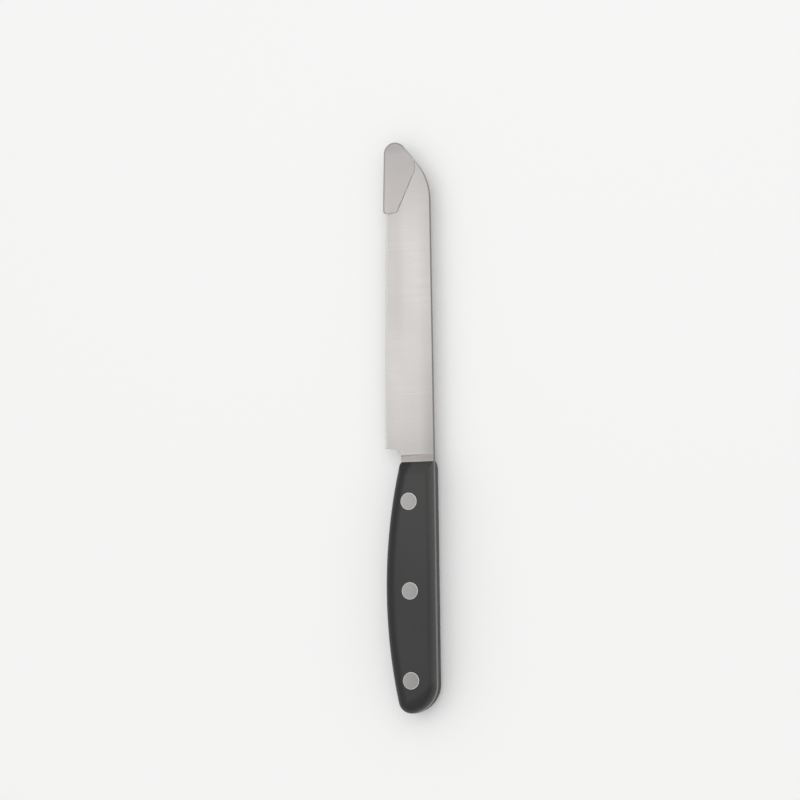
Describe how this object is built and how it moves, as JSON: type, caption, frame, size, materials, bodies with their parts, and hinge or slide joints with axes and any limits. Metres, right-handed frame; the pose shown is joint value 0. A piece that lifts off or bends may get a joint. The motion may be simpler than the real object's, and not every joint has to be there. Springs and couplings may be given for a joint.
{
  "type": "tomato knife",
  "caption": "Full-tang tomato knife with a straight finely serrated blade, blunt rounded tip, riveted dark handle scales and a pull-off tip guard.",
  "frame": {"origin": "middle of the bounding box in plan, on the flat of the right scale, on which the knife lies", "axes": "+X from the butt to the tip, +Y from the spine to the cutting edge, +Z out of the left scale"},
  "size_m": [0.2412, 0.0222, 0.014],
  "materials": {
    "blade_steel": "fine satin grind across the blade",
    "scale_plastic": "smooth dark moulded plastic with a soft sheen",
    "rivet_steel": "satin, ground flush",
    "guard_plastic": "thin translucent plastic"
  },
  "bodies": {
    "knife": {"blade": "blade_steel", "left_scale": "scale_plastic", "right_scale": "scale_plastic", "front_rivet_stud": "rivet_steel", "front_rivet_socket": "rivet_steel", "middle_rivet_stud": "rivet_steel", "middle_rivet_socket": "rivet_steel", "rear_rivet_stud": "rivet_steel", "rear_rivet_socket": "rivet_steel"},
    "guard": {"tip_guard": "guard_plastic"}
  },
  "joints": [
    {"name": "tip_guard_slide", "type": "slide", "parent": "knife", "child": "guard", "axis": [1, 0, 0], "range_m": [0, 0.035]}
  ]
}
